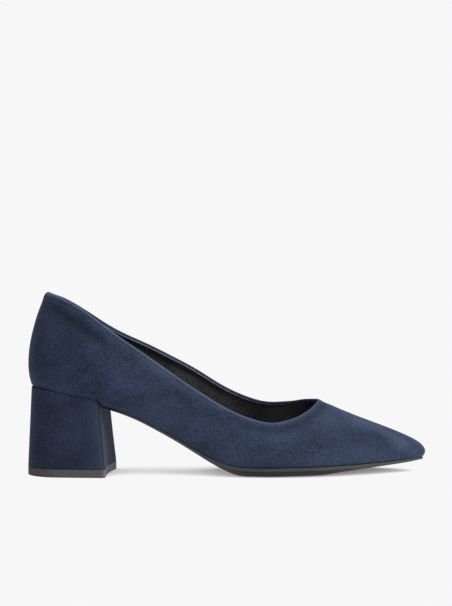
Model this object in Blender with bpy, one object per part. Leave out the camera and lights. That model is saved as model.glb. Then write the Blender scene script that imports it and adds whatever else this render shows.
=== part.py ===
"""A right-foot pump on a block heel: pointed suede upper, insole, outsole, covered heel and top lift.

Metres, +Z up. +X points to the toe, +Y to the inner side of the foot, and the floor is z = 0.
Inside the script x starts 2 mm behind the heel. A parent empty then centres the shoe on the origin.
"""

import math
from bisect import bisect_right
from collections import namedtuple

import bmesh
import bpy
from mathutils import Vector

MM = 0.001

# Driving dimensions
LENGTH = 252.8 * MM  # x at the tip of the toe, and 100 per cent of the places along the shoe
BALL_WIDTH = 70.5 * MM  # feather line, across the joints of the foot
HEEL_HEIGHT = 55.0 * MM  # floor to the back of the heel seat
TOP_HEIGHT = 113.9 * MM  # floor to the topline at the back
WALL = 1.8 * MM  # suede, stiffener and lining together
GAP = 0.3 * MM  # clearance where two pieces meet

# Heel seat, a plane that ends in a step down to the shank, round the top of the heel's breast
SEAT_BACK = 4.0 * MM  # x where the feather line starts
SEAT_SLOPE = -0.187
STEP_LEAD = 0.4 * MM  # the step starts this far behind the breast
STEP_RUN = 2.8 * MM  # and takes this length
BED_RUN = 25 * MM  # the insole bridges the step with a slope of this length

# Block heel and its lift
HEEL_TURN = math.radians(-7.2)  # the heel's own axis turns to the outer side of the foot
HEEL_CENTRE = Vector((25.8 * MM, 2.6 * MM))
HEEL_TOP_BACK = 21.7 * MM  # from the heel's centre to its back, under the seat
HEEL_TOP_BREAST = 23.7 * MM  # from the heel's centre to its breast, under the seat
HEEL_FOOT_BACK = 24.0 * MM  # the same two at the floor: the block flares
HEEL_FOOT_BREAST = 28.0 * MM
HEEL_TOP_HALF = 23.8 * MM  # half widths
HEEL_FOOT_HALF = 24.9 * MM
HEEL_CORNER = 2.6 * MM  # rounding of the breast's upright edges
BREAST_HOLLOW = 1.8 * MM  # how far the breast is hollowed at the floor
HEEL_SQUARENESS = 2.2  # 2 gives a back that is round in plan, more gives a squarer one
LIFT_THICKNESS = 5 * MM

# Outsole and insole
CROWN_POWER = 5  # how flat the tread is across before it turns up to the edge
DISH_SHARE = 0.45  # the top of the sole sinks by this share of the crown underneath
DISH_POWER = 2.5
INSOLE_THICKNESS = 2.4 * MM
INSOLE_EDGE_GAP = 0.45 * MM
END_FAN = 14 * MM  # the centre line of a sole stops this far short of its rounded ends

# Mesh fineness
COLUMNS_PER_RIB = 4
UPPER_ROWS = 11
ROW_LEAN = 0.3  # above 0 the rows of the upper lie closer at the feather line than at the topline
SOLE_RINGS = 6
HEEL_LEVELS = 6
BACK_POINTS = 26
BREAST_POINTS = 5
CORNER_POINTS = 3
LAP = 3  # ribs repeated past each end of the ring, so that its curves close smoothly
PLACE_STEP = 0.05  # part of a rib's spacing, over which a direction is taken
HALVINGS = 30
MERGE_DISTANCE = 0.01 * MM
SHARP_ANGLE = math.radians(40)

# Side line of the last's bottom in front of the seat.
# along: per cent of the length; height: of the feather line over the floor, in millimetres
Station = namedtuple("Station", "along height")
BOTTOM_LINE = [
    Station(16.0, 45.8),
    Station(21.0, 42.7),
    Station(26.0, 38.6),
    Station(35.5, 26.8),
    Station(43.5, 15.0),
    Station(47.0, 10.5),
    Station(51.0, 7.3),
    Station(56.0, 6.5),
    Station(63.0, 6.5),
    Station(77.0, 7.0),
    Station(89.0, 7.9),
    Station(100.0, 9.4),
]

# Sections of the outsole, whose edge is pared thin and set back towards the heel.
# along: per cent of the length. In millimetres: crown, how far its middle hangs under its edges;
# edge, how thick its edge is; ledge, how far it stands out past the feather line.
SoleSection = namedtuple("SoleSection", "along crown edge ledge")
SOLE_SECTIONS = [
    SoleSection(18.0, 0.4, 0.6, -0.7),
    SoleSection(25.0, 0.4, 1.0, -0.3),
    SoleSection(32.0, 0.4, 1.5, 0.2),
    SoleSection(40.0, 0.5, 1.8, 0.5),
    SoleSection(48.0, 2.4, 2.1, 0.5),
    SoleSection(54.0, 5.3, 2.1, 0.5),
    SoleSection(70.0, 5.3, 2.1, 0.5),
    SoleSection(84.0, 1.8, 2.0, 0.4),
    SoleSection(94.0, 0.5, 1.7, 0.2),
    SoleSection(100.0, 0.2, 1.3, -0.2),
]

# Ribs of the upper. Each is a wall curve from the feather line up to the topline.
# along, top_along: per cent of the length.
# outer, inner, top_outer, top_inner: per cent of the ball width, with +Y to the inner side.
# rise_outer, rise_inner: height of the topline, per cent of the top height.
# low_out, low_up: how the wall leaves the feather line, in millimetres.
# high_out, high_down: how it reaches the topline, in millimetres.
Rib = namedtuple(
    "Rib",
    "along outer inner top_along top_outer top_inner rise_outer rise_inner low_out low_up high_out high_down",
)
RIBS = [
    Rib(1.6, 6.4, 6.4, 5.1, 5.7, 5.7, 100, 100, 5.6, 14, 9.5, 22),
    Rib(3.4, -16.0, 28.6, 6.2, -6.9, 18.1, 98.9, 98.9, 5.7, 14, 8.8, 21),
    Rib(6.8, -26.2, 36.4, 9.3, -16.6, 26.6, 96.4, 96.1, 5.4, 13, 7, 20),
    Rib(13.5, -32.4, 37.6, 15.1, -26.6, 32.0, 89.3, 88.5, 5.0, 12, 5.5, 18),
    Rib(18.3, -34.8, 35.1, 19.6, -31.7, 33.2, 82.1, 81.9, 4.7, 11.3, 4.8, 17.3),
    Rib(20.5, -35.6, 33.5, 21.7, -33.5, 33.5, 78.6, 79.1, 4.6, 11, 4.5, 17),
    Rib(30.2, -37.2, 27.2, 31.3, -38.6, 35.2, 63.9, 68.9, 4.2, 10, 3.5, 15),
    Rib(40.5, -38.3, 26.2, 41.3, -41.8, 37.0, 48.5, 57.3, 4.0, 9, 3, 13),
    Rib(50.8, -42.0, 37.6, 50.8, -43.0, 39.5, 36.0, 44.7, 4.5, 8.5, 4, 10),
    Rib(61.1, -45.8, 52.9, 59.5, -39.0, 39.2, 29.7, 37.7, 5.0, 8.5, 7, 8),
    Rib(71.4, -43.0, 52.0, 65.9, -28.4, 32.2, 31.5, 37.9, 4.8, 8.5, 10, 7),
    Rib(81.7, -31.2, 40.6, 69.8, -15.6, 22.0, 35.2, 39.6, 4.5, 8.5, 16, 8),
    Rib(90.9, -16.3, 25.5, 71.9, -5.4, 13.6, 38.6, 40.2, 4.6, 9.5, 23, 10.5),
    Rib(96.8, -4.5, 13.8, 72.6, -0.3, 8.5, 40.0, 40.4, 6.8, 11, 28, 14),
    Rib(99.3, 4.7, 4.7, 72.7, 4.2, 4.2, 40.4, 40.4, 10.0, 11.5, 32, 16.5),
]


def clear_scene():
    for thing in list(bpy.data.objects):
        bpy.data.objects.remove(thing)


def principled(name, colour, roughness):
    material = bpy.data.materials.new(name)
    material.use_nodes = True
    shader = material.node_tree.nodes["Principled BSDF"]
    shader.inputs["Base Color"].default_value = (*colour, 1)
    shader.inputs["Roughness"].default_value = roughness
    shader.inputs["Metallic"].default_value = 0
    return material


def curve_through(knots, values):
    """A function that runs smoothly through the values, each at its own knot."""
    spans = [after - before for before, after in zip(knots, knots[1:])]
    climbs = [(after - before) / span for before, after, span in zip(values, values[1:], spans)]
    slopes = [climbs[0]]
    for i in range(1, len(spans)):
        weighted = climbs[i - 1] * spans[i] + climbs[i] * spans[i - 1]
        slopes.append(weighted / (spans[i - 1] + spans[i]))
    slopes.append(climbs[-1])

    def at(knot):
        i = min(max(bisect_right(knots, knot) - 1, 0), len(spans) - 1)
        t = min(max((knot - knots[i]) / spans[i], 0), 1)
        start = values[i] * (1 + 2 * t) * (1 - t) ** 2 + slopes[i] * spans[i] * t * (1 - t) ** 2
        end = values[i + 1] * t * t * (3 - 2 * t) + slopes[i + 1] * spans[i] * t * t * (t - 1)
        return start + end

    return at


def ease(share):
    """A smooth step from 0 to 1."""
    share = min(max(share, 0), 1)
    return share * share * (3 - 2 * share)


def seat_height(x):
    return HEEL_HEIGHT + SEAT_SLOPE * (x - SEAT_BACK)


def bottom_line():
    """Height of the feather line in front of the seat, as a function of x."""
    knots = [LENGTH * row.along / 100 for row in BOTTOM_LINE]
    return curve_through(knots, [row.height * MM for row in BOTTOM_LINE])


def heel_axis():
    return Vector((math.cos(HEEL_TURN), math.sin(HEEL_TURN), 0))


def ahead_of_breast(spot):
    """How far a spot lies in front of the top of the heel's breast."""
    return (spot - HEEL_CENTRE.to_3d()).dot(heel_axis()) - HEEL_TOP_BREAST


def sole_size(name):
    """One of the outsole's sizes, by its column's name, as a function of x."""
    knots = [LENGTH * row.along / 100 for row in SOLE_SECTIONS]
    return curve_through(knots, [getattr(row, name) * MM for row in SOLE_SECTIONS])


def outward(before, after):
    """The level direction to the right of a step along an anticlockwise outline."""
    step = after - before
    return Vector((step.y, -step.x, 0)).normalized()


class Last:
    """The form that the shoe is made on: its feather line, its topline and the wall between them."""

    def __init__(self):
        self.shank = bottom_line()
        self.crown = sole_size("crown")
        ring = [self.rib_ends(rib, "outer") for rib in RIBS]
        ring += [self.rib_ends(rib, "inner") for rib in reversed(RIBS[1:-1])]
        self.count = len(ring)
        wrapped = ring[-LAP:] + ring + ring[: LAP + 1]
        knots = [0]
        for before, after in zip(wrapped, wrapped[1:]):
            knots.append(knots[-1] + (after[0] - before[0]).length)
        self.knots = knots
        self.feather_curve, self.topline_curve, self.handle_curve = (
            curve_through(knots, [ends[part] for ends in wrapped]) for part in range(3)
        )

    def rib_ends(self, rib, side):
        """Feather point, topline point and wall handles of one rib on one side."""
        feather_x = LENGTH * rib.along / 100
        feather_y = BALL_WIDTH * getattr(rib, side) / 100
        top_x = LENGTH * rib.top_along / 100
        top_y = BALL_WIDTH * getattr(rib, "top_" + side) / 100
        top_z = TOP_HEIGHT * getattr(rib, "rise_" + side) / 100
        handles = Vector((rib.low_out, rib.low_up, rib.high_out, rib.high_down)) * MM
        return Vector((feather_x, feather_y, 0)), Vector((top_x, top_y, top_z)), handles

    def bottom(self, spot, run=STEP_RUN):
        """Height of the last's bottom: the seat over the heel, and the shank's line in front of its breast.

        The one passes into the other over the length of run.
        """
        seat = seat_height(spot.x)
        share = ease((ahead_of_breast(spot) + STEP_LEAD) / run)
        return seat + (self.shank(spot.x) - seat) * share

    def knot(self, place):
        """place counts ribs round the shoe from the back centre, by the outer side, and may be a fraction."""
        place = place % self.count
        i = int(place)
        first, second = self.knots[i + LAP : i + LAP + 2]
        return first + (second - first) * (place - i)

    def feather(self, place):
        spot = self.feather_curve(self.knot(place))
        spot.z = self.bottom(spot)
        return spot

    def feather_out(self, place):
        return outward(self.feather(place - PLACE_STEP), self.feather(place + PLACE_STEP))

    def topline(self, place):
        return self.topline_curve(self.knot(place))

    def topline_out(self, place):
        return outward(self.topline(place - PLACE_STEP), self.topline(place + PLACE_STEP))

    def wall(self, place, share):
        """A point of the outer wall, from the feather line at share 0 to the topline at share 1."""
        low_out, low_up, high_out, high_down = self.handle_curve(self.knot(place))
        up = Vector((0, 0, 1))
        start = self.feather(place)
        end = self.topline(place)
        low = start + self.feather_out(place) * low_out + up * low_up
        high = end + self.topline_out(place) * high_out - up * high_down
        rest = 1 - share
        return (
            start * rest**3
            + low * 3 * share * rest**2
            + high * 3 * share**2 * rest
            + end * share**3
        )

    def dish(self, x, reach):
        """How far the last hangs under its feather line, reach being 1 there and 0 in the middle."""
        return DISH_SHARE * self.crown(x) * (1 - reach**DISH_POWER)


def grid_object(name, columns, rows, point, material, closed=True):
    """A grid of faces bent to point(column, row), with doubled points merged and, if closed, ends filled."""
    mesh = bpy.data.meshes.new(name)
    bm = bmesh.new()
    half = 0.5
    bmesh.ops.create_grid(bm, x_segments=columns, y_segments=rows, size=half)
    for vert in bm.verts:
        column = round((vert.co.x + half) * columns)
        row = round((vert.co.y + half) * rows)
        vert.co = point(column, row)
    bmesh.ops.remove_doubles(bm, verts=bm.verts, dist=MERGE_DISTANCE)
    if closed:
        bmesh.ops.holes_fill(bm, edges=[edge for edge in bm.edges if edge.is_boundary], sides=0)
        bmesh.ops.recalc_face_normals(bm, faces=bm.faces)
    bm.to_mesh(mesh)
    bm.free()
    return finish_object(name, mesh, material)


def finish_object(name, mesh, material):
    mesh.materials.append(material)
    mesh.shade_smooth()
    mesh.set_sharp_from_angle(angle=SHARP_ANGLE)
    thing = bpy.data.objects.new(name, mesh)
    bpy.context.scene.collection.objects.link(thing)
    return thing


def make_upper(last):
    suede = principled("navy_suede", colour=(0.022, 0.031, 0.062), roughness=0.95)

    def point(column, row):
        share = row / UPPER_ROWS
        return last.wall(column / COLUMNS_PER_RIB, share * (1 - ROW_LEAN + ROW_LEAN * share))

    upper = grid_object("upper", last.count * COLUMNS_PER_RIB, UPPER_ROWS, point, suede, closed=False)
    wall = upper.modifiers.new("wall", "SOLIDIFY")
    wall.thickness = WALL
    wall.offset = -1
    wall.use_even_offset = True
    return upper


def middle_of_feather(last, x):
    """The middle of the last's bottom at x, found by halving along the outer half of the feather line."""
    low, high = 0, last.count / 2
    for _ in range(HALVINGS):
        half = (low + high) / 2
        if last.feather(half).x < x:
            low = half
        else:
            high = half
    return (last.feather(low) + last.feather(-low)) / 2


def make_slab(name, last, offset, above, below, material):
    """A slab under the foot. Its edge is moved out from the feather line by offset, which depends on x.

    above and below give its heights at a spot and its reach, 1 at the edge and 0 on the middle line.
    The middle line stops short of the rounded ends, where the rows fan out from its last point.
    """
    ends = (SEAT_BACK + END_FAN, LENGTH - END_FAN)
    end_points = [middle_of_feather(last, x) for x in ends]

    def point(column, row):
        place = column / COLUMNS_PER_RIB
        feather = last.feather(place)
        edge = feather + last.feather_out(place) * offset(feather.x)
        middle = (feather + last.feather(-place)) / 2
        if middle.x < ends[0]:
            middle = end_points[0]
        elif middle.x > ends[1]:
            middle = end_points[1]
        on_top = row <= SOLE_RINGS
        step = row if on_top else 2 * SOLE_RINGS + 1 - row
        reach = math.sin(math.pi / 2 * step / SOLE_RINGS)
        spot = middle.lerp(edge, reach)
        spot.z = above(spot, reach) if on_top else below(spot, reach)
        return spot

    return grid_object(name, last.count * COLUMNS_PER_RIB, 2 * SOLE_RINGS + 1, point, material)


def make_insole(last):
    sock = principled("black_sock", colour=(0.012, 0.011, 0.011), roughness=0.6)

    def inset(_):
        return -WALL - INSOLE_EDGE_GAP

    def below(spot, reach):
        return last.bottom(spot, BED_RUN) - last.dish(spot.x, reach)

    def above(spot, reach):
        return below(spot, reach) + INSOLE_THICKNESS

    return make_slab("insole", last, inset, above, below, sock)


def heel_outline(back, breast, half, hollow):
    """Plan of the heel round its centre, from the inner end of the breast by the outer side and the back."""
    local = []
    flat = half - HEEL_CORNER
    for i in range(BREAST_POINTS):
        side = 1 - 2 * i / BREAST_POINTS
        local.append((breast - hollow * (1 - side * side), flat * side))
    for i in range(CORNER_POINTS + 1):
        turn = math.pi / 2 * i / CORNER_POINTS
        local.append(
            (breast - HEEL_CORNER + HEEL_CORNER * math.cos(turn), -flat - HEEL_CORNER * math.sin(turn))
        )
    for i in range(BACK_POINTS + 1):
        turn = math.pi * (i / BACK_POINTS - 0.5)
        along = -back * math.cos(turn) ** (2 / HEEL_SQUARENESS)
        across = half * math.copysign(abs(math.sin(turn)) ** (2 / HEEL_SQUARENESS), math.sin(turn))
        local.append((along, across))
    for i in range(CORNER_POINTS):
        turn = math.pi / 2 * (1 - i / CORNER_POINTS)
        local.append(
            (breast - HEEL_CORNER + HEEL_CORNER * math.cos(turn), flat + HEEL_CORNER * math.sin(turn))
        )
    ahead = heel_axis()
    aside = Vector((-ahead.y, ahead.x, 0))
    return [HEEL_CENTRE.to_3d() + ahead * along + aside * across for along, across in local]


def heel_section(share):
    """Plan of the heel at a share of its height, 0 at the floor and 1 under the seat."""

    def between(foot, top):
        return foot + (top - foot) * share

    return heel_outline(
        between(HEEL_FOOT_BACK, HEEL_TOP_BACK),
        between(HEEL_FOOT_BREAST, HEEL_TOP_BREAST),
        between(HEEL_FOOT_HALF, HEEL_TOP_HALF),
        between(BREAST_HOLLOW, 0),
    )


def loft(name, levels, material):
    """A closed solid through rings of points, each ring a level."""
    count = len(levels[0])
    return grid_object(
        name, count, len(levels) - 1, lambda column, row: levels[row][column % count], material
    )


def at_height(spot, height):
    return Vector((spot.x, spot.y, height))


def make_heel(last):
    suede = principled("navy_suede_heel", colour=(0.018, 0.026, 0.05), roughness=0.95)
    levels = []
    for level in range(HEEL_LEVELS + 1):
        share = level / HEEL_LEVELS
        ring = []
        for spot in heel_section(share):
            low = LIFT_THICKNESS + GAP
            high = last.bottom(spot) - GAP
            ring.append(at_height(spot, low + (high - low) * share))
        levels.append(ring)
    return loft("heel", levels, suede)


def make_top_lift():
    rubber = principled("grey_lift", colour=(0.065, 0.066, 0.069), roughness=0.55)
    outline = heel_section(0)
    levels = [[at_height(spot, height) for spot in outline] for height in (0, LIFT_THICKNESS)]
    return loft("top_lift", levels, rubber)


def make_outsole(last):
    rubber = principled("grey_sole", colour=(0.055, 0.057, 0.063), roughness=0.6)
    thickness = sole_size("edge")

    def above(spot, reach):
        return last.bottom(spot) - GAP - last.dish(spot.x, reach)

    def below(spot, reach):
        crown = last.crown(spot.x) * (1 - reach**CROWN_POWER)
        return max(0, last.bottom(spot) - GAP - thickness(spot.x) - crown)

    outsole = make_slab("outsole", last, sole_size("ledge"), above, below, rubber)
    cut_at_breast(outsole.data)
    return outsole


def cut_at_breast(mesh):
    """Removes what lies behind the heel's breast, along a plane that leans with it."""
    ahead = heel_axis()
    top = HEEL_CENTRE.to_3d() + ahead * (HEEL_TOP_BREAST + GAP)
    top.z = seat_height(top.x)
    lean = (HEEL_FOOT_BREAST - HEEL_TOP_BREAST) / top.z
    facing = (ahead + Vector((0, 0, lean))).normalized()
    bm = bmesh.new()
    bm.from_mesh(mesh)
    everything = bm.verts[:] + bm.edges[:] + bm.faces[:]
    bmesh.ops.bisect_plane(
        bm, geom=everything, dist=MERGE_DISTANCE, plane_co=top, plane_no=facing, clear_inner=True
    )
    bmesh.ops.holes_fill(bm, edges=[edge for edge in bm.edges if edge.is_boundary], sides=0)
    bmesh.ops.recalc_face_normals(bm, faces=bm.faces)
    bm.to_mesh(mesh)
    bm.free()


def centre_on_origin(pieces):
    """Stands the shoe over the origin by a parent at the middle of its plan."""
    bpy.context.view_layer.update()
    graph = bpy.context.evaluated_depsgraph_get()
    corners = [Vector(corner) for piece in pieces for corner in piece.evaluated_get(graph).bound_box]
    middle = [(min(c[axis] for c in corners) + max(c[axis] for c in corners)) / 2 for axis in (0, 1)]
    shoe = bpy.data.objects.new("shoe", None)
    shoe.location = (-middle[0], -middle[1], 0)
    bpy.context.scene.collection.objects.link(shoe)
    for piece in pieces:
        piece.parent = shoe


def build():
    clear_scene()
    last = Last()
    pieces = [make_upper(last), make_insole(last), make_outsole(last), make_heel(last), make_top_lift()]
    centre_on_origin(pieces)


build()
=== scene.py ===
"""Looks of a navy suede pump on a block heel, one right shoe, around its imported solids.

Metres, +Z up. +X points to the toe, +Y to the inner side of the foot, and the floor is z = 0.
"""

import math
from bisect import bisect_left
from collections import namedtuple

import bmesh
import bpy
from mathutils import Matrix, Vector
from mathutils.kdtree import KDTree


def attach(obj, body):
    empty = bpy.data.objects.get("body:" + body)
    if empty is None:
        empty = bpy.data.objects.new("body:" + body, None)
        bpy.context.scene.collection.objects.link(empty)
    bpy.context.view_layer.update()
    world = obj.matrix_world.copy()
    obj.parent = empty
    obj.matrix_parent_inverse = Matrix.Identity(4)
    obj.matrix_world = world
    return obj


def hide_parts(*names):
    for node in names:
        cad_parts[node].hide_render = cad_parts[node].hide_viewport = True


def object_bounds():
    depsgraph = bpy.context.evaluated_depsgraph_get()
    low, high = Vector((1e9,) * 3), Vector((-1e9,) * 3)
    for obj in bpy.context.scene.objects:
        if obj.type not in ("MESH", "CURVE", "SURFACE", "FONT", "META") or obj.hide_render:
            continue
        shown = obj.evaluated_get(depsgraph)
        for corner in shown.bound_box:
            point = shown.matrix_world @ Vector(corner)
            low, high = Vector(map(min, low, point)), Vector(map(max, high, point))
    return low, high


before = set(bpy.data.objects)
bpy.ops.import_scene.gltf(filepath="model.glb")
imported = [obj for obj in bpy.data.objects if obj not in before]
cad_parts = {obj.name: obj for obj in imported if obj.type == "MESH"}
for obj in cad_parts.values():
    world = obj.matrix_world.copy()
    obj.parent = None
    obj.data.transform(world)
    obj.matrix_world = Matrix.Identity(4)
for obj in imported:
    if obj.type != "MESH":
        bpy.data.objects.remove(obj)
cad_low, cad_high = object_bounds()


# Camera
# The shoe is seen square from its outer side through a long lens, from a little above its topline.
# The small turn shows the breast of the heel.
CAMERA_DISTANCE = 1.0
CAMERA_HEIGHT = 0.1255
CAMERA_TURN = math.radians(-2.5)
CAMERA_ASIDE = -0.00125
AIM_HEIGHT = 0.1065
LENS_MM = 94.35
SENSOR_MM = 36

right = Vector((math.cos(CAMERA_TURN), math.sin(CAMERA_TURN), 0))
back = Vector((math.sin(CAMERA_TURN), -math.cos(CAMERA_TURN), 0))
eye = right * CAMERA_ASIDE + back * CAMERA_DISTANCE + Vector((0, 0, CAMERA_HEIGHT))
aim = right * CAMERA_ASIDE + Vector((0, 0, AIM_HEIGHT))
camera = bpy.data.objects.new("camera", bpy.data.cameras.new("camera"))
camera.data.lens = LENS_MM
camera.data.sensor_width = SENSOR_MM
camera.location = eye
camera.rotation_euler = (aim - eye).to_track_quat("-Z", "Y").to_euler()
bpy.context.scene.collection.objects.link(camera)
bpy.context.scene.camera = camera


# Suede upper
# One piece of navy suede, lasted over the form and turned under it at the feather line.
# At the topline it is folded over a tape, and its edge is turned down on the inside and stitched.
MM = 0.001
MERGE = 0.01 * MM
SHARP = math.radians(55)  # steeper edges part the sides of a solid
PAIRING = 1.1  # topology influence, at which triangles pair back into the quads of their solid
SKIN_LEVELS = 2
TOP_ROWS = 2  # so many rows of faces are cut finer, beside the row at the topline,
TOP_CUTS = 2  # with so many cuts
WALL = 1.8 * MM
ROLL_RISE = 1.2 * MM  # height of the folded edge's rounding
BACK_RISE = 1.4 * MM  # how much higher and
BACK_PAD = 1.0 * MM  # how much thicker its half is at the back, where it is padded
BACK_REACH = 9 * MM
ROLL_LIFT = 0.35 * MM  # how far the rounding stands over the edge of the wall
THROAT_FADE = 12 * MM  # it sinks flush again over this length in front
ROLL_STEPS = 8
HIGHLIGHT_TURN = math.radians(125)  # the painted highlight on the rounding ends here, inside
HIGHLIGHT_FADE = math.radians(60)
# width of the painted highlight along the folded edge
RIM_HIGHLIGHT_WIDTH = 1.3 * MM
ROLL_BAND = 5 * MM  # the skin gives way to the rounding over this width
FEATHER_ROUND = 0.25 * MM  # rounding of the lower edge, along the sole
SEAT_ROUND = 1.1 * MM  # and over the heel
SEAT_FRONT = -62 * MM
SEAT_FADE = 16 * MM
FEATHER_STEPS = 4
FEATHER_BAND = 3 * MM
LASTED_UNDER = 1.0 * MM
TAUT_FROM = Vector((58, 6, 22)) * MM  # the vamp is drawn taut over both its shoulders, from here
TAUT_TO = Vector((106, 22, 45)) * MM  # to here along it, out from its middle and up
TAUT_PASSES = 3
TAUT_PULL = 0.5
SUEDE_THICKNESS = 0.35 * MM
STITCH_DEPTH = 1.7 * MM  # row of stitches under the topline
STITCH_SPACING = 2.35 * MM
STITCH_GROOVE = 0.09 * MM
STITCH_GROOVE_WIDTH = 0.6 * MM
HOLE_DEPTH = 0.3 * MM
HOLE_WIDTH = 0.5 * MM
HOLES_CLEAR = -75 * MM  # in front of here the nap closes over the needle holes
HOLES_FADE = 40 * MM
HOLES_CLOSED = 0.6

# Rows of the turned edge inside. depth: under the rounding, in millimetres. raw: 1 on the cut edge,
# whose paler colour is lighter cut fibres and a painted highlight where the edge catches the light.
TurnRow = namedtuple("TurnRow", "depth raw")
TURN_ROWS = [TurnRow(0.1, 0), TurnRow(0.18, 1), TurnRow(0.95, 1)]

# Troughs and ridges along the topline. from_x, to_x: stretch along the shoe. below: distance under
# the topline. width: half width. depth: how far it sinks in, negative where it stands out.
# All in millimetres. tone: share of painted shade, darker in the troughs, negative for a painted
# highlight on the ridges.
Crease = namedtuple("Crease", "from_x to_x below width depth tone")
CREASES = [
    Crease(-122, -70, 8.6, 3.2, 0.7, 0.45),
    Crease(-96, -45, 9.6, 3.4, 0.3, 0.14),
    Crease(-140, -20, 3.2, 2.4, -0.2, -0.16),
    Crease(-60, 6, 3.6, 3.2, -0.12, -0.2),
    Crease(-60, 10, 9.5, 3.0, 0.14, 0.12),
    Crease(-5, 75, 5.2, 3.0, 0.3, 0.42),
    Crease(-20, 75, 2.2, 1.6, -0.1, -0.08),
]
CREASE_FADE = 16  # length in millimetres over which a crease starts and ends

# Soft folds of the outer side with painted shade in them, and patches of painted shade and painted
# highlight, seen from that side. x and z: their ends.
# width, depth and tone as above. They fade towards the middle of the shoe.
Fold = namedtuple("Fold", "from_x from_z to_x to_z width depth tone")
FOLDS = [
    Fold(-33, 60, -26, 34, 4.5, 0.22, 0.12),
    Fold(-20, 40, -12, 20, 5, 0.12, 0.1),
    Fold(38, 32, 56, 16, 5, 0.14, 0.08),
    Fold(70, 34, 84, 20, 5, 0.12, 0.08),
    Fold(108, 13, 120, 17, 1.6, 0.3, 0.25),
    Fold(-108, 90, -98, 56, 17, 0, 0.16),
    Fold(82, 34, 108, 23, 5, 0, -0.25),
    Fold(106, 22, 122, 14, 7, 0, -0.25),
    Fold(-5, 14, 60, 10, 5, 0, -0.18),
    Fold(46, 24, 92, 20, 9, 0, 0.19),
    Fold(-58, 52, -22, 36, 14, 0, -0.1),
    Fold(-14, 27, 12, 22, 9, 0, -0.09),
]
OUTER_FADE = 12 * MM  # width beside the middle in which they do so


def merged_copy(node):
    """A bmesh of the node with its loose triangles merged and paired into quads."""
    bm = bmesh.new()
    bm.from_mesh(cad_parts[node].data)
    bmesh.ops.remove_doubles(bm, verts=bm.verts, dist=MERGE)
    bmesh.ops.join_triangles(
        bm,
        faces=bm.faces,
        angle_face_threshold=SHARP,
        angle_shape_threshold=math.pi,
        topology_influence=PAIRING,
    )
    return bm


def sides_of(bm):
    """The faces in groups that sharp edges part, the group with the largest area first."""
    groups = []
    waiting = set(bm.faces)
    while waiting:
        stack = [waiting.pop()]
        group = []
        while stack:
            face = stack.pop()
            group.append(face)
            for edge in face.edges:
                if edge.calc_face_angle() < SHARP:
                    near = waiting.intersection(edge.link_faces)
                    waiting -= near
                    stack.extend(near)
        groups.append(group)
    return sorted(groups, key=lambda group: -sum(face.calc_area() for face in group))


def smoothed(bm, levels, drawn_out=False):
    """Replaces the bmesh by its subdivision surface, which goes through its points if drawn out."""
    mesh = bpy.data.meshes.new("form")
    bm.to_mesh(mesh)
    form = bpy.data.objects.new("form", mesh)
    bpy.context.scene.collection.objects.link(form)
    smooth = form.modifiers.new("smooth", "SUBSURF")
    smooth.levels = smooth.render_levels = levels
    if drawn_out:
        shrunk = form.evaluated_get(bpy.context.evaluated_depsgraph_get()).data
        tree = KDTree(len(shrunk.vertices))
        for vert in shrunk.vertices:
            tree.insert(vert.co, vert.index)
        tree.balance()
        for vert in mesh.vertices:
            vert.co += vert.co - tree.find(vert.co)[0]
        mesh.update()
    bm.clear()
    bm.from_object(form, bpy.context.evaluated_depsgraph_get())
    bpy.data.objects.remove(form)
    bpy.data.meshes.remove(mesh)
    bm.normal_update()


def draw_taut(bm):
    """Smooths the vamp over its shoulders."""
    shoulders = []
    for vert in bm.verts:
        place = Vector((vert.co.x, abs(vert.co.y), vert.co.z))
        if all(low < part < high for low, part, high in zip(TAUT_FROM, place, TAUT_TO)):
            shoulders.append(vert)
    for _ in range(TAUT_PASSES):
        bmesh.ops.smooth_vert(
            bm, verts=shoulders, factor=TAUT_PULL, use_axis_x=True, use_axis_y=True, use_axis_z=True
        )


def side_alone(node, rank):
    """One side of a node as a smooth open skin. rank counts the node's sides from the largest."""
    bm = merged_copy(node)
    kept = set(sides_of(bm)[rank])
    bmesh.ops.delete(bm, geom=[face for face in bm.faces if face not in kept], context="FACES")
    draw_taut(bm)
    smoothed(bm, SKIN_LEVELS, drawn_out=True)
    return bm


def open_loops(bm):
    """The open edges as closed rings of points, the ring that reaches highest first."""
    open_edges = [edge for edge in bm.edges if edge.is_boundary]
    waiting = set(open_edges)
    rings = []
    for first in open_edges:
        if first not in waiting:
            continue
        waiting.remove(first)
        ring = [first.verts[0]]
        ahead = first.verts[1]
        while ahead is not ring[0]:
            ring.append(ahead)
            edge = next(other for other in ahead.link_edges if other in waiting)
            waiting.remove(edge)
            ahead = edge.other_vert(ahead)
        rings.append(ring)
    return sorted(rings, key=lambda ring: -max(vert.co.z for vert in ring))


# A spot of an open edge. out: direction off the skin. away: direction past the edge. along: distance
# from the first spot.
EdgeSpot = namedtuple("EdgeSpot", "place out away along")


class EdgeLine:
    """An open edge of a skin as a ring of spots, with its length."""

    def __init__(self, ring):
        self.spots = []
        self.tree = KDTree(len(ring))
        run = 0
        for index, vert in enumerate(ring):
            before, after = ring[index - 1], ring[(index + 1) % len(ring)]
            if index:
                run += (vert.co - before.co).length
            out = vert.normal.copy()
            away = out.cross(after.co - before.co).normalized()
            inside = sum((edge.other_vert(vert).co for edge in vert.link_edges), Vector())
            if away.dot(vert.co - inside / len(vert.link_edges)) < 0:
                away.negate()
            self.spots.append(EdgeSpot(vert.co.copy(), out, away, run))
            self.tree.insert(vert.co, index)
        self.tree.balance()
        self.length = run + (ring[0].co - ring[-1].co).length

    def near(self, place):
        """The nearest spot, and its distance."""
        _, index, distance = self.tree.find(place)
        return self.spots[index], distance


def ease(share):
    """A smooth step from 0 to 1."""
    share = min(max(share, 0), 1)
    return share * share * (3 - 2 * share)


def bell(distance, width):
    """1 at no distance, and falling to 0 over some two widths."""
    return math.exp(-((distance / width) ** 2))


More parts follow.
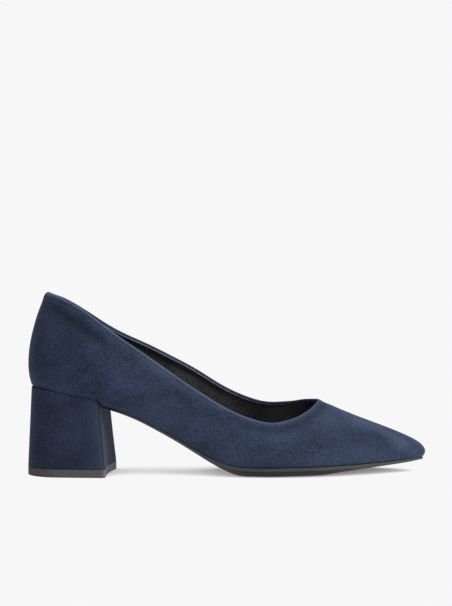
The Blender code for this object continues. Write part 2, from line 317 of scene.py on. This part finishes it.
def crease_share(row, place, below):
    """1 in the middle of a crease along the topline, and 0 away from it."""
    along = place.x / MM
    share = ease((along - row.from_x) / CREASE_FADE) * ease((row.to_x - along) / CREASE_FADE)
    return share * bell(below / MM - row.below, row.width)


def fold_share(row, place):
    """1 in the middle of a fold of the outer side, and 0 away from it and on the inner side."""
    spot = Vector((place.x, place.z)) / MM
    start = Vector((row.from_x, row.from_z))
    reach = Vector((row.to_x, row.to_z)) - start
    share = (spot - start).dot(reach) / reach.length_squared
    aside = (spot - start - reach * share).length
    ends = max(-share, share - 1, 0) * reach.length
    return bell(aside, row.width) * bell(ends, row.width) * ease(-place.y / OUTER_FADE)


def pressed_in(place, below):
    """How far the suede is pressed in at a place, and the share of shade painted there, negative for a
    painted highlight.
    """
    shares = [(row, crease_share(row, place, below)) for row in CREASES]
    shares += [(row, fold_share(row, place)) for row in FOLDS]
    sink = sum(row.depth * MM * share for row, share in shares)
    return sink, sum(row.tone * share for row, share in shares)


suede = side_alone("upper", 0)
top_ring, _ = open_loops(suede)
near_top = {face for vert in top_ring for face in vert.link_faces}
for _ in range(TOP_ROWS):
    near_top |= {face for near in list(near_top) for edge in near.edges for face in edge.link_faces}
top_edges = [edge for edge in suede.edges if not near_top.isdisjoint(edge.link_faces)]
bmesh.ops.subdivide_edges(suede, edges=top_edges, cuts=TOP_CUTS, use_grid_fill=True)
# painted shade in the needle holes, over shallow dimples
hole_layer = suede.verts.layers.float.new("hole")
# a painted highlight along the folded edge, on ridges and in paler patches
painted_highlight_layer = suede.verts.layers.float.new("painted_highlight")
# the dark attribute holds painted shade in the troughs of creases and folds, and in darker patches
painted_shade_layer = suede.verts.layers.float.new("dark")
raw_layer = suede.verts.layers.float.new("raw")
suede.normal_update()
top_ring, feather_ring = open_loops(suede)
topline = EdgeLine(top_ring)
feather_line = EdgeLine(feather_ring)
top_back = min(spot.place.x for spot in topline.spots)
top_front = max(spot.place.x for spot in topline.spots)
stitch_count = round(topline.length / STITCH_SPACING)
stitch_step = topline.length / stitch_count


def roll_rise(spot):
    """Height of the rounding at a spot of the topline."""
    return ROLL_RISE + BACK_RISE * bell(spot.place.x - top_back, BACK_REACH)


def roll_start(spot):
    """How far under the edge of the wall the rounding starts."""
    return roll_rise(spot) - ROLL_LIFT * ease((top_front - spot.place.x) / THROAT_FADE)


def roll_half(spot):
    """Half the thickness of the rounding at a spot of the topline."""
    return WALL / 2 + BACK_PAD * bell(spot.place.x - top_back, BACK_REACH)


def feather_round(spot):
    """Rounding of the lower edge at a spot of the feather line."""
    over_heel = ease((SEAT_FRONT - spot.place.x) / SEAT_FADE)
    return FEATHER_ROUND + (SEAT_ROUND - FEATHER_ROUND) * over_heel


def hole_share(along, below):
    """1 in the middle of a needle hole, half way between two stitches, and 0 away from it."""
    aside = (along / stitch_step % 1 - 0.5) * stitch_step
    return bell(aside, HOLE_WIDTH) * bell(below - STITCH_DEPTH, HOLE_WIDTH)


moves = []
for vert in suede.verts:
    spot, below = topline.near(vert.co)
    foot, above = feather_line.near(vert.co)
    down = roll_start(spot) * max(0, 1 - below / ROLL_BAND)
    up = feather_round(foot) * max(0, 1 - above / FEATHER_BAND)
    below += down
    closed = HOLES_CLOSED * ease((vert.co.x - HOLES_CLEAR) / HOLES_FADE)
    hole = hole_share(spot.along, below) * (1 - closed)
    groove = STITCH_GROOVE * bell(below - STITCH_DEPTH, STITCH_GROOVE_WIDTH)
    sink, tone = pressed_in(vert.co, below)
    sink += groove + HOLE_DEPTH * hole
    moves.append(-spot.away * down - foot.away * up - vert.normal * sink)
    vert[hole_layer] = hole
    # painted highlight along the folded edge, on ridges and in paler patches
    vert[painted_highlight_layer] = bell(below, RIM_HIGHLIGHT_WIDTH) + max(-tone, 0)
    # painted shade in the troughs and in darker patches
    vert[painted_shade_layer] = max(tone, 0)
for vert, move in zip(suede.verts, moves):
    vert.co += move


def extruded_ring(bm, ring, places):
    """Extrudes an open ring to the places, and returns the new ring in the same order."""
    edges = []
    for vert, after in zip(ring, ring[1:] + ring[:1]):
        edges.append(next(edge for edge in vert.link_edges if edge.other_vert(vert) is after))
    made = bmesh.ops.extrude_edge_only(bm, edges=edges)["geom"]
    fresh = {item for item in made if isinstance(item, bmesh.types.BMVert)}
    moved = []
    for vert, place in zip(ring, places):
        twin = next(edge.other_vert(vert) for edge in vert.link_edges if edge.other_vert(vert) in fresh)
        twin.co = place
        moved.append(twin)
    return moved


def rounded_place(spot, turn, thick, rise, start):
    """A place on the rounding of an edge: 0 where it leaves the skin, half a turn on the other side."""
    centre = spot.place - spot.out * thick - spot.away * start
    return centre + spot.out * thick * math.cos(turn) + spot.away * rise * math.sin(turn)


edge_ring = top_ring
for step in range(1, ROLL_STEPS + 1):
    turn = math.pi * step / ROLL_STEPS
    places = [
        rounded_place(spot, turn, roll_half(spot), roll_rise(spot), roll_start(spot))
        for spot in topline.spots
    ]
    edge_ring = extruded_ring(suede, edge_ring, places)
    for vert in edge_ring:
        vert[hole_layer] = vert[painted_shade_layer] = 0
        # painted highlight over the top of the rounding
        vert[painted_highlight_layer] = ease((HIGHLIGHT_TURN - turn) / HIGHLIGHT_FADE)
for row in TURN_ROWS:
    places = [
        spot.place - spot.out * WALL - spot.away * (roll_start(spot) + row.depth * MM)
        for spot in topline.spots
    ]
    edge_ring = extruded_ring(suede, edge_ring, places)
    for vert in edge_ring:
        vert[hole_layer] = vert[painted_shade_layer] = vert[painted_highlight_layer] = 0
        vert[raw_layer] = row.raw
edge_ring = feather_ring
for step in range(1, FEATHER_STEPS + 1):
    turn = math.pi / 2 * step / FEATHER_STEPS
    places = []
    for spot in feather_line.spots:
        size = feather_round(spot)
        places.append(rounded_place(spot, turn, size, size, size))
    edge_ring = extruded_ring(suede, edge_ring, places)
under = [spot.place - spot.out * (feather_round(spot) + LASTED_UNDER) for spot in feather_line.spots]
extruded_ring(suede, edge_ring, under)
bmesh.ops.recalc_face_normals(suede, faces=suede.faces)


def finished(name, bm, material, node=None):
    """Makes the piece's object at the origin, riding on the shoe."""
    mesh = bpy.data.meshes.new(name)
    bm.to_mesh(mesh)
    bm.free()
    mesh.shade_smooth()
    mesh.materials.append(material)
    piece = bpy.data.objects.new(name, mesh)
    bpy.context.scene.collection.objects.link(piece)
    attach(piece, "root")
    if node:
        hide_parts(node)
    return piece


def new_material(name, roughness):
    """A material, its node tree and its shader."""
    material = bpy.data.materials.new(name)
    material.use_nodes = True
    shader = material.node_tree.nodes["Principled BSDF"]
    shader.inputs["Roughness"].default_value = roughness
    return material, material.node_tree, shader


def object_place(tree):
    return tree.nodes.new("ShaderNodeTexCoord").outputs["Object"]


def stretched(tree, place, stretch, turn=0):
    """A place drawn out by a stretch in x, y and z, and then turned round the y axis."""
    node = tree.nodes.new("ShaderNodeMapping")
    node.inputs["Rotation"].default_value = (0, turn, 0)
    node.inputs["Scale"].default_value = [1 / part for part in stretch]
    tree.links.new(place, node.inputs["Vector"])
    return node.outputs["Vector"]


NOISE_DETAIL = 2
NOISE_ROUGHNESS = 0.6


def noise(tree, place, size, detail=NOISE_DETAIL):
    """Soft noise with marks of a size, from about 0.25 to 0.75."""
    node = tree.nodes.new("ShaderNodeTexNoise")
    node.inputs["Scale"].default_value = 1 / size
    node.inputs["Detail"].default_value = detail
    node.inputs["Roughness"].default_value = NOISE_ROUGHNESS
    tree.links.new(place, node.inputs["Vector"])
    return node.outputs["Fac"]


def ranged(tree, value, low, high, to_low=0, to_high=1):
    """Stretches a value from one range to another, without going past its ends."""
    node = tree.nodes.new("ShaderNodeMapRange")
    ends = {"From Min": low, "From Max": high, "To Min": to_low, "To Max": to_high}
    for socket, number in ends.items():
        node.inputs[socket].default_value = number
    tree.links.new(value, node.inputs["Value"])
    return node.outputs["Result"]


def plus(tree, first, second, share=1):
    """first plus second times share."""
    node = tree.nodes.new("ShaderNodeMath")
    node.operation = "MULTIPLY_ADD"
    tree.links.new(second, node.inputs[0])
    node.inputs[1].default_value = share
    tree.links.new(first, node.inputs[2])
    return node.outputs["Value"]


MIX_COLOURS = (6, 7)  # places of the Mix node's colours among its inputs,
MIX_RESULT = 2  # and of its mixed colour among its outputs


def colour_between(tree, share, low, high):
    """A colour from low at share 0 to high at share 1, each a colour or a socket."""
    node = tree.nodes.new("ShaderNodeMix")
    node.data_type = "RGBA"
    tree.links.new(share, node.inputs["Factor"])
    for index, colour in zip(MIX_COLOURS, (low, high)):
        socket = node.inputs[index]
        if isinstance(colour, bpy.types.NodeSocket):
            tree.links.new(colour, socket)
        else:
            socket.default_value = (*colour, 1)
    return node.outputs[MIX_RESULT]


# A mark on a surface. attribute: where it lies. tint: its colour. strength: how far it covers.
Mark = namedtuple("Mark", "attribute tint strength")


def marked(tree, colour, marks):
    """The colour with marks on it."""
    for mark in marks:
        where = tree.nodes.new("ShaderNodeAttribute")
        where.attribute_name = mark.attribute
        share = ranged(tree, where.outputs["Fac"], 0, 1, 0, mark.strength)
        colour = colour_between(tree, share, colour, mark.tint)
    return colour


def add_bump(tree, shader, height, strength, distance):
    bump = tree.nodes.new("ShaderNodeBump")
    bump.inputs["Strength"].default_value = strength
    bump.inputs["Distance"].default_value = distance
    tree.links.new(height, bump.inputs["Height"])
    tree.links.new(bump.outputs["Normal"], shader.inputs["Normal"])


def new_group(name, inputs, outputs):
    """A node group with float sockets, its input and output nodes, and its object coordinates."""
    group = bpy.data.node_groups.new(name, "ShaderNodeTree")
    for socket in inputs:
        group.interface.new_socket(socket, in_out="INPUT", socket_type="NodeSocketFloat")
    for socket in outputs:
        group.interface.new_socket(socket, in_out="OUTPUT", socket_type="NodeSocketFloat")
    start = group.nodes.new("NodeGroupInput")
    end = group.nodes.new("NodeGroupOutput")
    return group, start, end, object_place(group)


# Layers of the nap. size: of its marks, in millimetres. drawn: how far they are drawn out along the
# shoe. shade, relief: their share of the colour and of the height.
NapLayer = namedtuple("NapLayer", "size drawn shade relief")
NAP_LAYERS = [
    NapLayer(22, 1.5, 1.0, 0),
    NapLayer(8, 1.7, 0.5, 0),
    NapLayer(2.6, 1.4, 0.45, 0.2),
    NapLayer(1.25, 1, 1.3, 0.5),
    NapLayer(0.6, 1, 1.4, 1),
]
NAP_TURN = math.radians(32)  # turns the noise, so that its lattice isn't square to the shoe
MIDDLE_SHADE = 0.5  # of nap that is brushed neither dark nor pale


def make_nap_group():
    """Suede nap: brushed patches, speckle and fine fibres, as a shade about one half and a height."""
    group, _, end, place = new_group("suede_nap", [], ["Shade", "Height"])
    middle = group.nodes.new("ShaderNodeValue")
    middle.outputs[0].default_value = MIDDLE_SHADE
    shade = height = middle.outputs[0]
    for layer in NAP_LAYERS:
        marks = noise(group, stretched(group, place, (layer.drawn, 1, 1), NAP_TURN), layer.size * MM)
        centred = ranged(group, marks, 0, 1, -MIDDLE_SHADE, 1 - MIDDLE_SHADE)
        shade = plus(group, shade, centred, layer.shade)
        height = plus(group, height, centred, layer.relief)
    group.links.new(ranged(group, shade, 0, 1), end.inputs["Shade"])
    group.links.new(height, end.inputs["Height"])
    return group


NAP = make_nap_group()
SUEDE_ROUGHNESS = 0.92
SUEDE_SPECULAR = 0.12
NAP_STRENGTH = 0.6
NAP_HEIGHT = 0.3 * MM
SHEEN = 0.3
SHEEN_ROUGHNESS = 0.45
SHEEN_TINT = (0.3, 0.4, 0.62, 1)


def suede_material(name, dark, light, marks=()):
    """Matte suede, with marks that are darker or paler by attribute."""
    material, tree, shader = new_material(name, SUEDE_ROUGHNESS)
    nap = tree.nodes.new("ShaderNodeGroup")
    nap.node_tree = NAP
    colour = colour_between(tree, nap.outputs["Shade"], dark, light)
    tree.links.new(marked(tree, colour, marks), shader.inputs["Base Color"])
    add_bump(tree, shader, nap.outputs["Height"], NAP_STRENGTH, NAP_HEIGHT)
    shader.inputs["Specular IOR Level"].default_value = SUEDE_SPECULAR
    shader.inputs["Sheen Weight"].default_value = SHEEN
    shader.inputs["Sheen Roughness"].default_value = SHEEN_ROUGHNESS
    shader.inputs["Sheen Tint"].default_value = SHEEN_TINT
    return material


upper_suede = suede_material(
    "upper_suede",
    dark=(0.005, 0.0092, 0.0205),
    light=(0.032, 0.0455, 0.085),
    marks=[
        # painted shade in the troughs and in darker patches
        Mark("dark", (0.0012, 0.002, 0.005), 1),
        # painted highlight along the folded edge, on ridges and in paler patches
        Mark("painted_highlight", (0.075, 0.098, 0.15), 0.5),
        # painted shade in the needle holes
        Mark("hole", (0.001, 0.002, 0.004), 1),
        # lighter cut fibres and a painted highlight on the cut edge
        Mark("raw", (0.24, 0.27, 0.33), 1),
    ],
)
upper = finished("upper", suede, upper_suede, node="upper")
leather = upper.modifiers.new("leather", "SOLIDIFY")
leather.thickness = SUEDE_THICKNESS
leather.offset = -1


# Topline stitches
# One row of tonal thread just under the folded edge, which holds the fold and the lining together.
# It shows on the outside and on the turned-down edge inside.
STITCH_LENGTH = 1.5 * MM
THREAD = 0.36 * MM
STITCH_SINK = 0.15 * MM
THREAD_SIDES = 6
THREAD_RINGS = 5
THREAD_ROUGHNESS = 0.6
THREAD_TWIST = 0.5 * MM
THREAD_DARK = (0.008, 0.012, 0.025)
THREAD_LIGHT = (0.026, 0.036, 0.066)

stitches = bmesh.new()
stitch_size = Matrix.Diagonal((STITCH_LENGTH / 2, THREAD / 2, THREAD / 2, 1))
runs = [spot.along for spot in topline.spots]
for number in range(stitch_count):
    index = bisect_left(runs, number * stitch_step) % len(runs)
    spot = topline.spots[index]
    before, after = topline.spots[index - 1], topline.spots[(index + 1) % len(runs)]
    along = (after.place - before.place).normalized()
    across = spot.out.cross(along).normalized()
    axes = Matrix((along, across, along.cross(across))).transposed().to_4x4()
    row = spot.place - spot.away * STITCH_DEPTH
    for inset in (STITCH_GROOVE + STITCH_SINK, WALL - STITCH_SINK):
        matrix = Matrix.Translation(row - spot.out * inset) @ axes @ stitch_size
        bmesh.ops.create_uvsphere(
            stitches, u_segments=THREAD_SIDES, v_segments=THREAD_RINGS, radius=1, matrix=matrix
        )

thread_material, thread_tree, thread_shader = new_material("navy_thread", THREAD_ROUGHNESS)
twist = noise(thread_tree, object_place(thread_tree), THREAD_TWIST)
thread_colour = colour_between(thread_tree, twist, THREAD_DARK, THREAD_LIGHT)
thread_tree.links.new(thread_colour, thread_shader.inputs["Base Color"])
finished("topline_stitches", stitches, thread_material)


# Lining
# Thin black lining leather, cut to the upper's shape and glued to its inside.
# Its top goes under the turned edge, where a strip of painted shade darkens it.
LINING_TOP = 1.5 * MM  # its top lies this far under the edge of the wall,
LINING_BAND = 6 * MM  # drawn down over this width
LINING_SINK = 0.4 * MM  # and it lies this far in the wall
LINING_THICKNESS = 0.2 * MM
STRIP_WIDTH = 4.6 * MM  # the strip of painted shade under the turned edge
STRIP_FADE = 0.8 * MM
STRIP_END = 14 * MM  # it runs out here, towards the throat,
STRIP_RUNOUT = 30 * MM  # over this length
VAMP_START = 15 * MM  # in front of here light is painted on the lining, paler towards the throat
VAMP_FADE = 32 * MM

lining = side_alone("upper", 1)
lining_shade_layer = lining.verts.layers.float.new("painted_shade_strip")
throat_light_layer = lining.verts.layers.float.new("vamp")
lining_top, _ = open_loops(lining)
lining_line = EdgeLine(lining_top)
moves = []
for vert in lining.verts:
    spot, below = lining_line.near(vert.co)
    in_strip = 1 - ease((below - STRIP_WIDTH) / STRIP_FADE)
    vert[lining_shade_layer] = in_strip * ease((STRIP_END - vert.co.x) / STRIP_RUNOUT)
    # painted light on the lining towards the throat
    vert[throat_light_layer] = ease((vert.co.x - VAMP_START) / VAMP_FADE)
    slide = LINING_TOP * max(0, 1 - below / LINING_BAND)
    moves.append(-spot.away * slide - vert.normal * LINING_SINK)
for vert, move in zip(lining.verts, moves):
    vert.co += move

CLOUD_SIZE = 14 * MM
CLOUD_DETAIL = 3
CLOUD_SHARE = 0.25
LEATHER_GRIT = 1.1 * MM
NOISE_LOW = 0.3  # noise lies mostly between these
NOISE_HIGH = 0.7


def make_leather_group():
    """Fine pebbled grain of smooth leather, as a height, and its soft cloudiness, as a shade."""
    group, start, end, place = new_group("leather_grain", ["Grain"], ["Shade", "Height"])
    cells = group.nodes.new("ShaderNodeTexVoronoi")
    group.links.new(place, cells.inputs["Vector"])
    group.links.new(start.outputs["Grain"], cells.inputs["Scale"])
    clouds = noise(group, place, CLOUD_SIZE, CLOUD_DETAIL)
    clouds = ranged(group, clouds, NOISE_LOW, NOISE_HIGH, -CLOUD_SHARE, CLOUD_SHARE)
    grit = ranged(group, noise(group, place, LEATHER_GRIT), NOISE_LOW, NOISE_HIGH)
    shade = ranged(group, plus(group, clouds, grit), 0, 1)
    group.links.new(shade, end.inputs["Shade"])
    group.links.new(cells.outputs["Distance"], end.inputs["Height"])
    return group


LEATHER = make_leather_group()
GLOSS_RANGE = 0.06
GRAIN_STRENGTH = 0.5
GRAIN_HEIGHT = 0.12 * MM
LEATHER_SPECULAR = 0.12


def leather_material(name, dark, light, roughness, grain, marks=()):
    """Smooth leather with pebbles of the size of grain."""
    material, tree, shader = new_material(name, roughness)
    skin = tree.nodes.new("ShaderNodeGroup")
    skin.node_tree = LEATHER
    skin.inputs["Grain"].default_value = 1 / grain
    shade = skin.outputs["Shade"]
    colour = marked(tree, colour_between(tree, shade, dark, light), marks)
    tree.links.new(colour, shader.inputs["Base Color"])
    gloss = ranged(tree, shade, 0, 1, roughness - GLOSS_RANGE, roughness + GLOSS_RANGE)
    tree.links.new(gloss, shader.inputs["Roughness"])
    add_bump(tree, shader, skin.outputs["Height"], GRAIN_STRENGTH, GRAIN_HEIGHT)
    shader.inputs["Specular IOR Level"].default_value = LEATHER_SPECULAR
    return material


lining_black = leather_material(
    "lining_black",
    dark=(0.0068, 0.0067, 0.0067),
    light=(0.0285, 0.0277, 0.0275),
    roughness=0.55,
    grain=0.7 * MM,
    # painted shade in the strip under the turned edge, and painted light towards the throat
    marks=[Mark("painted_shade_strip", (0.003, 0.003, 0.0032), 0.9), Mark("vamp", (0.075, 0.075, 0.078), 1)],
)
lining_piece = finished("lining", lining, lining_black)
backing = lining_piece.modifiers.new("backing", "SOLIDIFY")
backing.thickness = LINING_THICKNESS
backing.offset = -1


# Sock over the insole
# The black leather sock that the foot stands on.
# It is glued over the insole board and pressed down to its shape.
SOCK_EDGE = 0.7 * MM
SOFT_SEGMENTS = 2
SOFT_LEVELS = 2


def softened(node, width, segments=SOFT_SEGMENTS):
    """A bmesh of the node whose sharp edges are rounded."""
    bm = merged_copy(node)
    bmesh.ops.bevel(
        bm,
        geom=[edge for edge in bm.edges if edge.calc_face_angle() > SHARP],
        offset=width,
        offset_type="OFFSET",
        segments=segments,
        profile=0.5,
        affect="EDGES",
        material=-1,
        clamp_overlap=True,
    )
    return bm


def add_smoothing(piece):
    smooth = piece.modifiers.new("smooth", "SUBSURF")
    smooth.levels = smooth.render_levels = SOFT_LEVELS


sock_black = leather_material(
    "sock_black",
    dark=(0.0135, 0.0125, 0.012),
    light=(0.0315, 0.0298, 0.029),
    roughness=0.5,
    grain=0.8 * MM,
)
sock = finished("insole_sock", softened("insole", SOCK_EDGE), sock_black, node="insole")
add_smoothing(sock)


# Outsole
# A thin dark grey sole, cemented under the lasted upper. Its edge is trimmed and rubbed smooth.
# Shade is painted on it where it faces down, and on its edge beside the heel's breast.
SOLE_ROUNDING = 0.28 * MM
SHADE_FACING_DOWN = 0.3  # faces that point down more than this get painted shade
WAIST_SHADE = -74 * MM  # shade is painted on the edge behind here, beside the heel's breast
WAIST_FADE = 8 * MM
SOLE_LEVELS = 2
TRIM_LENGTH = 16 * MM  # of the lines that trimming leaves
TRIM_DETAIL = 3
TRIM_SHARE = 0.6  # of the shade. The grit has the rest
TRIM_STRENGTH = 0.3
TRIM_HEIGHT = 0.06 * MM
RUBBER_GRIT = 0.7 * MM
RUBBER_RANGE = 0.08
RUBBER_SPECULAR = 0.2


def rubber_material(name, dark, light, roughness, drawn, marks):
    """Satin rubber with trimming lines, so many times as long as high, and marks by attribute."""
    material, tree, shader = new_material(name, roughness)
    place = object_place(tree)
    lines = noise(tree, stretched(tree, place, (1, 1, 1 / drawn)), TRIM_LENGTH, TRIM_DETAIL)
    lines = ranged(tree, lines, NOISE_LOW, NOISE_HIGH, 0, TRIM_SHARE)
    grit = ranged(tree, noise(tree, place, RUBBER_GRIT), NOISE_LOW, NOISE_HIGH)
    shade = plus(tree, lines, grit, 1 - TRIM_SHARE)
    colour = marked(tree, colour_between(tree, shade, dark, light), marks)
    tree.links.new(colour, shader.inputs["Base Color"])
    gloss = ranged(tree, shade, 0, 1, roughness - RUBBER_RANGE, roughness + RUBBER_RANGE)
    tree.links.new(gloss, shader.inputs["Roughness"])
    add_bump(tree, shader, shade, TRIM_STRENGTH, TRIM_HEIGHT)
    shader.inputs["Specular IOR Level"].default_value = RUBBER_SPECULAR
    return material


def mark_painted_shade(bm, shade_behind):
    """Writes 1 where a point faces down, or lies behind an x, to an attribute that paints shade there.
    """
    layer = bm.verts.layers.float.new("painted_shade_under")
    bm.normal_update()
    for vert in bm.verts:
        down = ease((-vert.normal.z - SHADE_FACING_DOWN) / SHADE_FACING_DOWN)
        vert[layer] = max(down, ease((shade_behind - vert.co.x) / WAIST_FADE))
    return bm


sole_grey = rubber_material(
    "sole_grey",
    dark=(0.028, 0.0285, 0.0298),
    light=(0.042, 0.043, 0.0452),
    roughness=0.6,
    drawn=14,
    # painted shade under the sole and on its edge beside the heel's breast
    marks=[Mark("painted_shade_under", (0.006, 0.006, 0.006), 1)],
)
sole_form = softened("outsole", SOLE_ROUNDING)
smoothed(sole_form, SOLE_LEVELS, drawn_out=True)
for vert in sole_form.verts:
    vert.co.z = max(vert.co.z, cad_low.z)
mark_painted_shade(sole_form, WAIST_SHADE + WAIST_FADE)
finished("outsole", sole_form, sole_grey, node="outsole")


# Block heel
# A moulded block covered in the same suede, which is pulled round it and turned in at its top and foot.
# The top of its breast is rounded off under the sole.
HEEL_ROUNDING = 0.7 * MM
HEEL_SEGMENTS = 3
HEEL_SMOOTHING = 3
HEEL_TURN = math.radians(-7.2)  # the breast looks this much to the outer side
SEAT_SLOPE = -0.187  # rise of the heel's top for each unit ahead
BREAST_LEAN = 0.086  # how far the breast stands forward for each unit down
CORNER_ROUND = 1.3 * MM
EDGE_HIGHLIGHT_WIDTH = 7 * MM  # width of the painted highlight beside the breast's upright edges
BREAST_FACING = 0.55  # a surface that points ahead by this share starts to be breast
BREAST_TURN = 0.35  # and this much more of that share makes it all breast

heel_ahead = Vector((math.cos(HEEL_TURN), math.sin(HEEL_TURN), 0))


def breast_share(vert):
    """1 on the breast, and 0 on the sides and the back."""
    return ease((vert.normal.dot(heel_ahead) - BREAST_FACING) / BREAST_TURN)


heel = softened("heel", HEEL_ROUNDING, HEEL_SEGMENTS)
smoothed(heel, HEEL_SMOOTHING)
breast_layer = heel.verts.layers.float.new("breast")
edge_highlight_layer = heel.verts.layers.float.new("painted_highlight")
heel_top = max(vert.co.z - SEAT_SLOPE * vert.co.x for vert in heel.verts)
breast = max(
    vert.co.dot(heel_ahead) - BREAST_LEAN * (heel_top + SEAT_SLOPE * vert.co.x - vert.co.z)
    for vert in heel.verts
)
for vert in heel.verts:
    under = heel_top + SEAT_SLOPE * vert.co.x - vert.co.z
    behind = breast + BREAST_LEAN * under - vert.co.dot(heel_ahead)
    vert[breast_layer] = breast_share(vert)
    # painted highlight beside the breast's upright edges
    vert[edge_highlight_layer] = bell(behind, EDGE_HIGHLIGHT_WIDTH) * (1 - vert[breast_layer])
    corner = Vector((CORNER_ROUND - behind, CORNER_ROUND - under))
    if min(corner) > 0 and corner.length > CORNER_ROUND:
        pulled = corner * (1 - CORNER_ROUND / corner.length)
        vert.co -= heel_ahead * pulled.x + Vector((0, 0, pulled.y))

heel_suede = suede_material(
    "heel_suede",
    dark=(0.0048, 0.0078, 0.0165),
    light=(0.0205, 0.0285, 0.0545),
    # painted highlight beside the breast's upright edges
    marks=[Mark("breast", (0.0075, 0.0068, 0.0085), 0.8), Mark("painted_highlight", (0.04, 0.054, 0.09), 0.35)],
)
finished("heel_cover", heel, heel_suede, node="heel")


# Top lift
# A slab of matte dark grey rubber, glued under the heel and trimmed flush with its cover.
# Light is painted on its breast, and shade on its underside.
LIFT_ROUNDING = 0.35 * MM

lift_grey = rubber_material(
    "lift_grey",
    dark=(0.044, 0.044, 0.046),
    light=(0.066, 0.066, 0.068),
    roughness=0.65,
    drawn=20,
    # painted light on the breast, and painted shade on the underside
    marks=[Mark("breast", (0.11, 0.108, 0.115), 0.8), Mark("painted_shade_under", (0.02, 0.02, 0.02), 1)],
)
lift_form = mark_painted_shade(softened("top_lift", LIFT_ROUNDING), cad_low.x)
# painted light on the lift's breast
lift_light_layer = lift_form.verts.layers.float.new("breast")
for vert in lift_form.verts:
    vert[lift_light_layer] = breast_share(vert)
lift = finished("top_lift", lift_form, lift_grey, node="top_lift")
add_smoothing(lift)


# Floor and light
# A plain pale floor that glows like a light table, with a painted shadow where the shoe stands over it.
# A broad key over the toe and a weak fill beside the camera light the shoe.
FLOOR_SIZE = 30
FLOOR_DROP = 0.05 * MM
BACKDROP = 0.93
SKY = 0.1
KEY_STRENGTH = 5.3
KEY_SPREAD = math.radians(80)
KEY_FROM = Vector((0.77, -0.32, 0.55))
FILL_STRENGTH = 1.0
FILL_SPREAD = math.radians(60)
FILL_FROM = Vector((0.1, -1, 0.3))
SHADE_REACH = 60 * MM
SHADE_SAMPLES = 32
SHADE_FROM = (0, -0.5, 0.87)  # the painted shadow on the floor counts open space on this side
OPEN_FROM = 0.5  # share of open space on that side from which the floor has no painted shadow

world = bpy.data.worlds.new("studio")
world.use_nodes = True
bpy.context.scene.world = world
sky_tree = world.node_tree
seen = sky_tree.nodes.new("ShaderNodeLightPath")
sky = ranged(sky_tree, seen.outputs["Is Camera Ray"], 0, 1, SKY, BACKDROP)
sky_tree.links.new(sky, sky_tree.nodes["Background"].inputs["Strength"])
sky_tree.nodes["Background"].inputs["Color"].default_value = (1, 1, 1, 1)


def add_sun(name, strength, spread, source):
    """A broad lamp, far away in the direction of source."""
    sun = bpy.data.objects.new(name, bpy.data.lights.new(name, "SUN"))
    sun.data.energy = strength
    sun.data.angle = spread
    sun.rotation_euler = source.to_track_quat("Z", "Y").to_euler()
    bpy.context.scene.collection.objects.link(sun)


add_sun("key", KEY_STRENGTH, KEY_SPREAD, KEY_FROM)
add_sun("fill", FILL_STRENGTH, FILL_SPREAD, FILL_FROM)

floor_bm = bmesh.new()
bmesh.ops.create_grid(floor_bm, x_segments=1, y_segments=1, size=FLOOR_SIZE / 2)
bmesh.ops.translate(floor_bm, verts=floor_bm.verts, vec=(0, 0, -FLOOR_DROP))
floor_mesh = bpy.data.meshes.new("floor")
floor_bm.to_mesh(floor_mesh)
floor_bm.free()
floor = bpy.data.objects.new("floor", floor_mesh)
bpy.context.scene.collection.objects.link(floor)
pale_floor, floor_tree, floor_shader = new_material("pale_floor", 1)
floor_shader.inputs["Base Color"].default_value = (0, 0, 0, 1)
floor_shader.inputs["Specular IOR Level"].default_value = 0
floor_shader.inputs["Emission Strength"].default_value = BACKDROP
around = floor_tree.nodes.new("ShaderNodeAmbientOcclusion")
around.samples = SHADE_SAMPLES
around.inputs["Distance"].default_value = SHADE_REACH
shadow_side = floor_tree.nodes.new("ShaderNodeCombineXYZ")
for socket, part in zip(shadow_side.inputs, SHADE_FROM):
    socket.default_value = part
floor_tree.links.new(shadow_side.outputs["Vector"], around.inputs["Normal"])
open_share = ranged(floor_tree, around.outputs["AO"], 0, OPEN_FROM)
floor_tree.links.new(open_share, floor_shader.inputs["Emission Color"])
floor_mesh.materials.append(pale_floor)

bpy.context.scene.view_settings.view_transform = "Standard"
bpy.context.scene.view_settings.look = "None"
